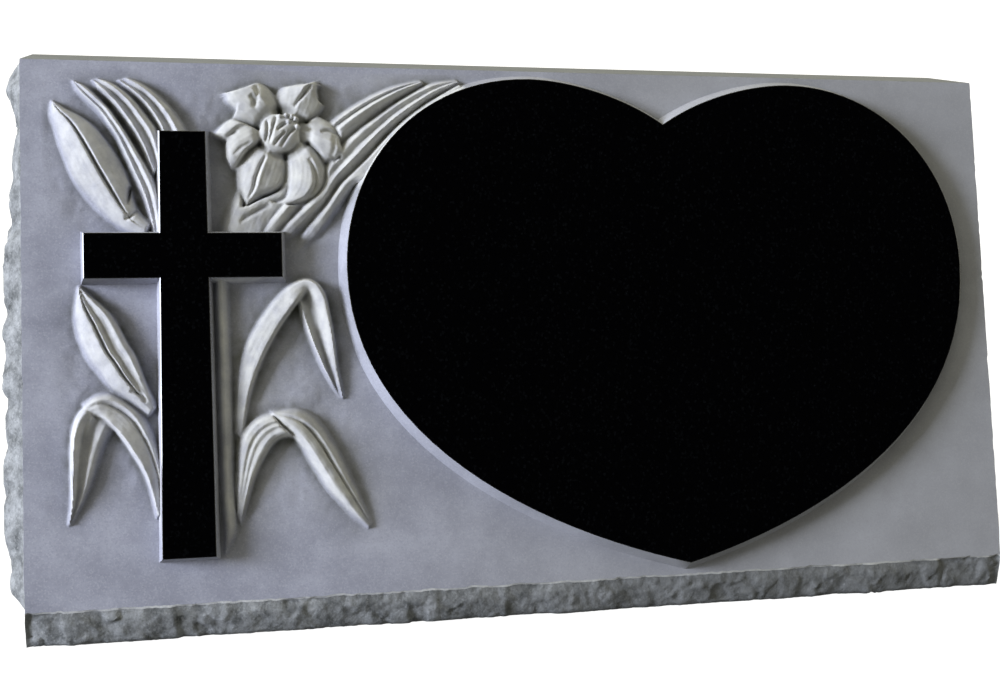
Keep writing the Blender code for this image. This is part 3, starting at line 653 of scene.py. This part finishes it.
def cut_parts(piece, kind, chosen, way, cuts):
    """Cuts the edges or faces that a test chooses, on a piece in edit mode."""
    bpy.ops.mesh.select_all(action="DESELECT")
    bm = bmesh.from_edit_mesh(piece.data)
    bm.select_mode = {kind}
    for part in bm.edges if kind == "EDGE" else bm.faces:
        part.select = chosen(part, way)
    bm.select_flush_mode()
    bmesh.update_edit_mesh(piece.data)
    bpy.ops.mesh.subdivide(number_cuts=cuts)


def wedge():
    """The block without its carving: a cube cut finely, laid out as a wedge, and broken."""
    bpy.ops.mesh.primitive_cube_add(size=1.0)
    piece = bpy.context.object
    bpy.ops.object.mode_set(mode="EDIT")
    for axis, cuts in enumerate(BLOCK_CUTS):
        cut_parts(piece, "EDGE", runs_along, axis, cuts)
    rows = BLOCK_CUTS[2] + 1
    bm = bmesh.from_edit_mesh(piece.data)
    for vert in bm.verts:
        x, y, z = vert.co
        row = round((z + 0.5) * rows)
        if row < NOSE_ROWS:
            height = (NOSE_HEIGHT - ARRIS_LINE) * row / (NOSE_ROWS - 1)
        else:
            height = NOSE_HEIGHT + (STONE_HEIGHT - NOSE_HEIGHT) * (row - NOSE_ROWS) / (rows - NOSE_ROWS)
        front = front_depth(height)
        vert.co = (x * FACE_WIDTH, front + (y + 0.5) * (BASE_DEPTH - front), height)
    bm.normal_update()
    out = Vector((0.0, -math.cos(LEAN), math.sin(LEAN)))
    for flat in (out, Vector((0, 0, 1)), Vector((0, 0, -1))):
        faces = [f for f in bm.faces if f.normal.dot(flat) > 0.9999]
        for face in bmesh.ops.dissolve_faces(bm, faces=faces, use_verts=False)["region"]:
            face.material_index = FROSTED if flat is out else SAWN
    bmesh.update_edit_mesh(piece.data)
    for way, cuts in (((0, -1, 0), NOSE_CUTS), ((-1, 0, 0), SIDE_CUTS), ((1, 0, 0), SIDE_CUTS)):
        cut_parts(piece, "FACE", looks_along, way, cuts)
    bm = bmesh.from_edit_mesh(piece.data)
    bm.normal_update()
    bmesh.ops.poke(bm, faces=[f for f in bm.faces if len(f.verts) > 4 and abs(f.normal.x) > 0.9])
    for face in bm.faces:
        if abs(face.normal.z) < 0.2:
            by_arris = face.normal.y < -0.9 and face.calc_center_median().z > NOSE_HEIGHT - ARRIS_LINE
            face.material_index = BRUISED if by_arris else PITCHED
    for vert in bm.verts:
        vert.co = (broken_place(vert.co) - Vector((0.0, ARRIS_AHEAD, 0.0))) * MM
    bmesh.update_edit_mesh(piece.data)
    bpy.ops.object.mode_set(mode="OBJECT")
    return piece


def open_face(piece):
    """Takes the plain face off the block, to leave room for the carved one."""
    bm = bmesh.new()
    bm.from_mesh(piece.data)
    big = max((f for f in bm.faces if f.material_index == FROSTED), key=lambda f: f.calc_area())
    bmesh.ops.delete(bm, geom=[big], context="FACES_ONLY")
    bm.to_mesh(piece.data)
    bm.free()


def heart_foot():
    """The heart's outline at the foot of its walls, as a filled face."""
    half = (HEART_RIGHT - HEART_LEFT) / 2

    def place(point, side, aside=0.0):
        across = HEART_LEFT + half + side * point[0] * half + aside
        return Vector((across, HEART_LOW + point[1] * HEART_TALL, 0))

    notch, lobe, flank, tip = HEART_HALF
    ring = [(place(notch[0], 1), place(notch[2], -1), place(notch[2], 1))]
    ring += [(place(p, 1), place(a, 1), place(b, 1)) for p, a, b in (lobe, flank)]
    ring += [[place(point, side, HEART_TIP_ASIDE)
              for point, side in ((tip[0], 1), (tip[1], 1), (tip[1], -1))]]
    ring += [(place(p, -1), place(b, -1), place(a, -1)) for p, a, b in (flank, lobe)]
    bpy.ops.curve.primitive_bezier_circle_add()
    outline = bpy.context.object
    spline = outline.data.splines[0]
    spline.bezier_points.add(len(ring) - len(spline.bezier_points))
    for point, (co, before, after) in zip(spline.bezier_points, ring):
        point.handle_left_type = point.handle_right_type = "FREE"
        point.co, point.handle_left, point.handle_right = co * MM, before * MM, after * MM
    outline.data.dimensions = "2D"
    outline.data.fill_mode = "NONE"
    outline.data.resolution_u = HEART_STEPS
    bpy.ops.object.convert(target="MESH")
    bpy.ops.object.mode_set(mode="EDIT")
    bpy.ops.mesh.select_all(action="SELECT")
    bpy.ops.mesh.remove_doubles(threshold=0.00001)
    bpy.ops.mesh.edge_face_add()
    bpy.ops.object.mode_set(mode="OBJECT")
    return outline


def cross_foot():
    """The cross's outline at the foot of its walls, as a filled face. Its shaft narrows upwards."""
    middle = CROSS_LEFT + CROSS_SPAN / 2
    arm_low, arm_high = CROSS_ARM_LEVEL - CROSS_ARM_WIDTH / 2, CROSS_ARM_LEVEL + CROSS_ARM_WIDTH / 2

    def shaft(level):
        share = (level - CROSS_FOOT) / (CROSS_HEAD - CROSS_FOOT)
        return (CROSS_FOOT_WIDTH + (CROSS_HEAD_WIDTH - CROSS_FOOT_WIDTH) * share) / 2

    corners = [(shaft(CROSS_FOOT), CROSS_FOOT), (shaft(arm_low), arm_low), (CROSS_SPAN / 2, arm_low),
               (CROSS_SPAN / 2, arm_high), (shaft(arm_high), arm_high), (shaft(CROSS_HEAD), CROSS_HEAD)]
    ring = corners + [(-across, up) for across, up in reversed(corners)]
    bpy.ops.mesh.primitive_circle_add(vertices=len(ring), radius=1.0, fill_type="NGON")
    outline = bpy.context.object
    for vert, (across, up) in zip(outline.data.vertices, ring):
        vert.co = Vector((middle + across, up, 0.0)) * MM
    return outline


def turn_outward():
    """Makes all faces of the piece in edit mode look outward."""
    bpy.ops.mesh.select_all(action="SELECT")
    bpy.ops.mesh.normals_make_consistent(inside=False)


def raised_panel(outline, name, batter):
    """Stands a filled outline out of the face: sunk walls, walls leaning in, and a polished top with
    its arris just taken off."""
    piece = pick(outline)
    piece.name = piece.data.name = name
    bpy.ops.object.mode_set(mode="EDIT")
    turn_outward()
    bm = bmesh.from_edit_mesh(piece.data)
    if bm.faces[:][0].normal.z < 0:
        bpy.ops.mesh.flip_normals()
    bpy.ops.transform.translate(value=(0.0, 0.0, -SUNK * MM))
    bpy.ops.mesh.extrude_region_move(TRANSFORM_OT_translate={"value": (0.0, 0.0, (SUNK - WALL_FOOT) * MM)})
    bpy.ops.mesh.inset(thickness=batter * MM, depth=(RELIEF_RISE + WALL_FOOT) * MM)
    bm = bmesh.from_edit_mesh(piece.data)
    for face in bm.faces:
        if face.select:
            face.material_index = POLISHED
    bmesh.update_edit_mesh(piece.data)
    bpy.ops.mesh.inset(thickness=POLISH_ARRIS * MM)
    bm = bmesh.from_edit_mesh(piece.data)
    inner = {v for f in bm.faces if f.select for v in f.verts}
    for vert in bm.verts:
        if vert.co.z > (RELIEF_RISE - TINY) * MM and vert not in inner:
            vert.co.z -= POLISH_ARRIS_DROP * MM
    bmesh.update_edit_mesh(piece.data)
    turn_outward()
    bpy.ops.object.mode_set(mode="OBJECT")
    piece.data.transform(face_place())
    return piece


def add_finishes(piece, stones):
    """Gives a piece the stone's finishes, and keeps which face has which."""
    indices = [p.material_index for p in piece.data.polygons]
    piece.data.materials.clear()
    for stone in stones:
        piece.data.materials.append(stone)
    piece.data.polygons.foreach_set("material_index", indices)


def granite_marker(stones):
    """The whole stone as one closed body."""
    across, up, height, marks_and_shade = carved_field()
    block = wedge()
    open_face(block)
    front = carving(across, up, height)
    panels = [raised_panel(cross_foot(), "cross", CROSS_BATTER),
              raised_panel(heart_foot(), "heart", HEART_BATTER)]
    for piece in (block, front, *panels):
        add_finishes(piece, stones)
    pick(block)
    front.select_set(True)
    bpy.ops.object.join()
    marker = bpy.context.object
    marker.name = marker.data.name = "granite_marker"
    bpy.ops.object.mode_set(mode="EDIT")
    bpy.ops.mesh.select_mode(type="EDGE")
    bpy.ops.mesh.select_all(action="DESELECT")
    bpy.ops.mesh.select_non_manifold()
    bpy.ops.mesh.fill(use_beauty=True)
    turn_outward()
    bpy.ops.object.mode_set(mode="OBJECT")
    for panel in panels:
        join = marker.modifiers.new(panel.name, "BOOLEAN")
        join.operation = "UNION"
        join.solver = "EXACT"
        join.object = panel
        bpy.ops.object.modifier_apply(modifier=join.name)
        bpy.data.objects.remove(panel)
    triangles = marker.modifiers.new("triangles", "TRIANGULATE")
    bpy.ops.object.modifier_apply(modifier=triangles.name)
    keep_marks_and_shade(marker, marks_and_shade)
    bpy.ops.object.shade_smooth_by_angle(angle=SMOOTH_ANGLE)
    out = face_place().to_3x3() @ Vector((0.0, 0.0, 1.0))
    for face in marker.data.polygons:
        if face.material_index in (POLISHED, SAWN) or face.normal.dot(out) > 0.99999:
            face.use_smooth = False
    return marker


def keep_marks_and_shade(marker, marks_and_shade):
    """Keeps on the mesh, at each place of the carving, the bruised leaves and the painted shade and shadow.
    """
    count = len(marker.data.vertices)
    places = np.empty(count * 3, dtype=np.float32)
    marker.data.vertices.foreach_get("co", places)
    back = np.array(face_place().inverted())
    local = (np.c_[places.reshape(-1, 3), np.ones(count)] @ back.T)[:, :3] / MM
    rows, columns = marks_and_shade["painted_recess_shade"].shape
    column = (local[:, 0] - FIELD_LOW[0]) / (FIELD_HIGH[0] - FIELD_LOW[0]) * (columns - 1)
    row = (local[:, 1] - FIELD_LOW[1]) / (FIELD_HIGH[1] - FIELD_LOW[1]) * (rows - 1)
    inside = (column >= 0) & (column <= columns - 1) & (row >= 0) & (row <= rows - 1)
    inside &= (local[:, 2] > MARKED_LOW) & (local[:, 2] < MARKED_HIGH)
    column = np.clip(np.round(column).astype(int), 0, columns - 1)
    row = np.clip(np.round(row).astype(int), 0, rows - 1)
    for name, field in marks_and_shade.items():
        layer = marker.data.attributes.new(name, "FLOAT", "POINT")
        layer.data.foreach_set("value", np.where(inside, field[row, column], 0.0).astype(np.float32))


def linear(code):
    """An sRGB hex colour as linear values."""
    parts = [int(code[i:i + 2], 16) / 255 for i in (1, 3, 5)]
    return [p / 12.92 if p <= 0.04045 else ((p + 0.055) / 1.055) ** 2.4 for p in parts] + [1.0]


def per(size):
    """The scale that repeats a pattern every so many millimetres."""
    return 1.0 / (size * MM)


def feed(tree, node, inputs):
    """Gives a node's inputs values or links."""
    for socket, value in inputs.items():
        if isinstance(value, bpy.types.NodeSocket):
            tree.links.new(value, node.inputs[socket])
        else:
            node.inputs[socket].default_value = value


def add_node(tree, kind, inputs=(), **settings):
    """Adds a node with its settings and inputs."""
    made = tree.nodes.new(kind)
    for name, value in settings.items():
        setattr(made, name, value)
    feed(tree, made, dict(inputs))
    return made


def new_material(name):
    """A material, with its nodes and its shader."""
    material = bpy.data.materials.new(name)
    material.use_nodes = True
    tree = material.node_tree
    return material, tree, tree.nodes["Principled BSDF"]


def mix_colour(tree, share, first, second):
    """One colour over another, by a share."""
    return add_node(tree, "ShaderNodeMix", {0: share, 6: first, 7: second}, data_type="RGBA").outputs[2]


def spread(tree, value, span, reach=(0.0, 1.0), **settings):
    """A value taken from one span to another."""
    made = add_node(tree, "ShaderNodeMapRange", {"Value": value, "From Min": span[0], "From Max": span[1],
                                                 "To Min": reach[0], "To Max": reach[1]}, **settings)
    return made.outputs["Result"]


def product(tree, first, second, **settings):
    """Two values multiplied."""
    made = add_node(tree, "ShaderNodeMath", {0: first, 1: second}, operation="MULTIPLY", **settings)
    return made.outputs[0]


def crystals(tree, where, size):
    """Three random values for each crystal."""
    cells = add_node(tree, "ShaderNodeTexVoronoi", {"Vector": where, "Scale": per(size)})
    return add_node(tree, "ShaderNodeSeparateColor", {"Color": cells.outputs["Color"]}).outputs


def dull_granite(name, low, high, dark_grain, light_grain, greyer, grain, contrast, relief, patch,
                 roughness):
    """Granite whose crystals are broken open: a cloudy body with light and dark crystals in it, which
    turns greyer to the right. What the carving keeps on the mesh adds bruised leaves, a grey painted
    shadow right of the cross, and painted shade in hollows."""
    material, tree, shader = new_material(name)
    where = add_node(tree, "ShaderNodeTexCoord").outputs["Object"]
    cloud = add_node(tree, "ShaderNodeTexNoise", {"Vector": where, "Scale": per(patch), "Detail": 6.0,
                                                  "Roughness": 0.60})
    body = spread(tree, cloud.outputs["Fac"], (0.30, 0.70))
    tone = mix_colour(tree, body, linear(low), linear(high))
    crystal = crystals(tree, where, grain)
    is_dark = spread(tree, crystal["Red"], (0.55, 1.0), (0.0, contrast))
    is_light = spread(tree, crystal["Green"], (0.60, 1.0), (0.0, contrast))
    tone = mix_colour(tree, is_dark, tone, linear(dark_grain))
    tone = mix_colour(tree, is_light, tone, linear(light_grain))
    bed = add_node(tree, "ShaderNodeSeparateXYZ", {"Vector": where})
    drift = spread(tree, bed.outputs["X"], GREYER_SPAN, (0.0, GREYEST_SHARE))
    tone = mix_colour(tree, drift, tone, linear(greyer))
    smear = add_node(tree, "ShaderNodeTexNoise", {"Vector": where, "Scale": per(SMEAR_SIZE), "Detail": 4.0})
    # Bruised leaves, then a painted shadow and painted shade in hollows, each smeared by noise
    for mark_or_shade, reach, colour in MARK_AND_SHADE_TONES:
        kept = add_node(tree, "ShaderNodeAttribute", attribute_name=mark_or_shade)
        share = product(tree, kept.outputs["Fac"], smear.outputs["Fac"])
        share = product(tree, share, 2 * reach, use_clamp=True)
        tone = mix_colour(tree, share, tone, linear(colour))
    fine = add_node(tree, "ShaderNodeTexNoise", {"Vector": where, "Scale": per(grain * 1.2), "Detail": 4.0,
                                                 "Roughness": 0.65})
    rough = spread(tree, fine.outputs["Fac"], (0.0, 1.0), (roughness - 0.08, roughness + 0.08))
    bump = add_node(tree, "ShaderNodeBump", {"Height": fine.outputs["Fac"], "Distance": relief * MM,
                                             "Strength": 1.0})
    feed(tree, shader, {"Base Color": tone, "Roughness": rough, "Normal": bump.outputs["Normal"],
                        "IOR": GRANITE_IOR})
    return material


def polished_granite():
    """Black granite at full polish: near black, its crystals only just told apart, with a wet gloss."""
    material, tree, shader = new_material("polished_black_granite")
    where = add_node(tree, "ShaderNodeTexCoord").outputs["Object"]
    glint = spread(tree, crystals(tree, where, 1.6)["Blue"], (0.86, 1.0))
    tone = mix_colour(tree, glint, linear("#010102"), linear("#08090b"))
    feed(tree, shader, {"Base Color": tone, "Roughness": 0.06, "IOR": GRANITE_IOR})
    return material


def finishes():
    """The finishes of the one stone, in the order that the faces name them."""
    # Frosted: the even, bluish mid grey of the face, fine and without gloss
    frosted = dull_granite("frosted_granite", "#848695", "#a6a8b7", "#777985", "#b8bac5", "#91918f",
                           grain=1.1, contrast=0.24, relief=0.10, patch=42.0, roughness=0.80)
    # Rock-pitched: darker and patchy, with coarse crystals that catch the light
    pitched = dull_granite("rock_pitched_granite", "#474a4c", "#94979b", "#383a3c", "#aeb0b3", "#5c5d5d",
                           grain=1.4, contrast=0.25, relief=0.4, patch=11.0, roughness=0.85)
    # Sawn: a flat, plain grey with hardly any relief
    sawn = dull_granite("sawn_granite", "#55585c", "#666a6e", "#45484b", "#84888c", "#5d5f60",
                        grain=1.1, contrast=0.30, relief=0.05, patch=34.0, roughness=0.70)
    # Bruised: the thin pale line where the tool struck along the nose
    bruised = dull_granite("bruised_granite", "#9fa1a6", "#c2c3c6", "#8c8e92", "#d0d0d0", "#9c9c97",
                           grain=1.1, contrast=0.30, relief=0.2, patch=9.0, roughness=0.85)
    return [frosted, polished_granite(), pitched, sawn, bruised]


def floor():
    """A plain pale floor."""
    bpy.ops.mesh.primitive_plane_add(size=30.0)
    piece = bpy.context.object
    piece.name = piece.data.name = "floor"
    material, tree, shader = new_material("pale_floor")
    seen = add_node(tree, "ShaderNodeLightPath").outputs["Is Camera Ray"]
    feed(tree, shader, {"Base Color": linear("#80807e"), "Roughness": 0.9,
                        "Emission Color": linear("#ffffff"),
                        "Emission Strength": product(tree, seen, FLOOR_GLOW)})
    piece.data.materials.append(material)


def area_light(name, place, aim, size, power, colour):
    """A soft box at a place, turned to what it lights."""
    bpy.ops.object.light_add(type="AREA", location=place)
    lamp = bpy.context.object
    lamp.name = name
    lamp.rotation_euler = (Vector(aim) - Vector(place)).to_track_quat("-Z", "Y").to_euler()
    lamp.data.shape = "RECTANGLE"
    lamp.data.size, lamp.data.size_y = size
    lamp.data.energy = power
    lamp.data.color = linear(colour)[:3]


def studio():
    """A soft box far off on the left, low over the face, and a pale room that is dark only where the
    polished faces look."""
    area_light("key", (-7.41, -2.12, 2.34), (0.0, 0.0, 0.2), (2.6, 2.2), 1060.0, "#eaf0ff")
    world = bpy.data.worlds.new("studio")
    bpy.context.scene.world = world
    world.use_nodes = True
    tree = world.node_tree
    way = add_node(tree, "ShaderNodeTexCoord").outputs["Generated"]
    mirrored = add_node(tree, "ShaderNodeVectorMath", {0: way, 1: MIRROR_WAY.normalized()},
                        operation="DOT_PRODUCT")
    bright = spread(tree, mirrored.outputs["Value"], (0.92, 0.45), (0.01, ROOM_LIGHT),
                    interpolation_type="SMOOTHSTEP")
    seen = add_node(tree, "ShaderNodeLightPath").outputs["Is Camera Ray"]
    strength = add_node(tree, "ShaderNodeMath", {0: seen, 1: bright}, operation="MAXIMUM").outputs[0]
    tone = mix_colour(tree, seen, linear("#ebe8d2"), linear("#ffffff"))
    feed(tree, tree.nodes["Background"], {"Strength": strength, "Color": tone})


def camera():
    """The camera where the photograph was taken from."""
    bpy.ops.object.camera_add()
    made = bpy.context.object
    turn = CAMERA_LOOK.to_track_quat("-Z", "Y").to_matrix().to_4x4() @ Matrix.Rotation(CAMERA_ROLL, 4, "Z")
    made.matrix_world = Matrix.Translation(CAMERA_PLACE) @ turn
    made.data.lens = CAMERA_LENS
    made.data.sensor_width = 36.0
    bpy.context.scene.camera = made


noise.seed_set(BREAK_SEED)
bpy.ops.object.select_all(action="DESELECT")
camera()
floor()
studio()
stone = granite_marker(finishes())
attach(stone, "root")
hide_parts("carved_stone")
bpy.context.scene.view_settings.view_transform = "Standard"
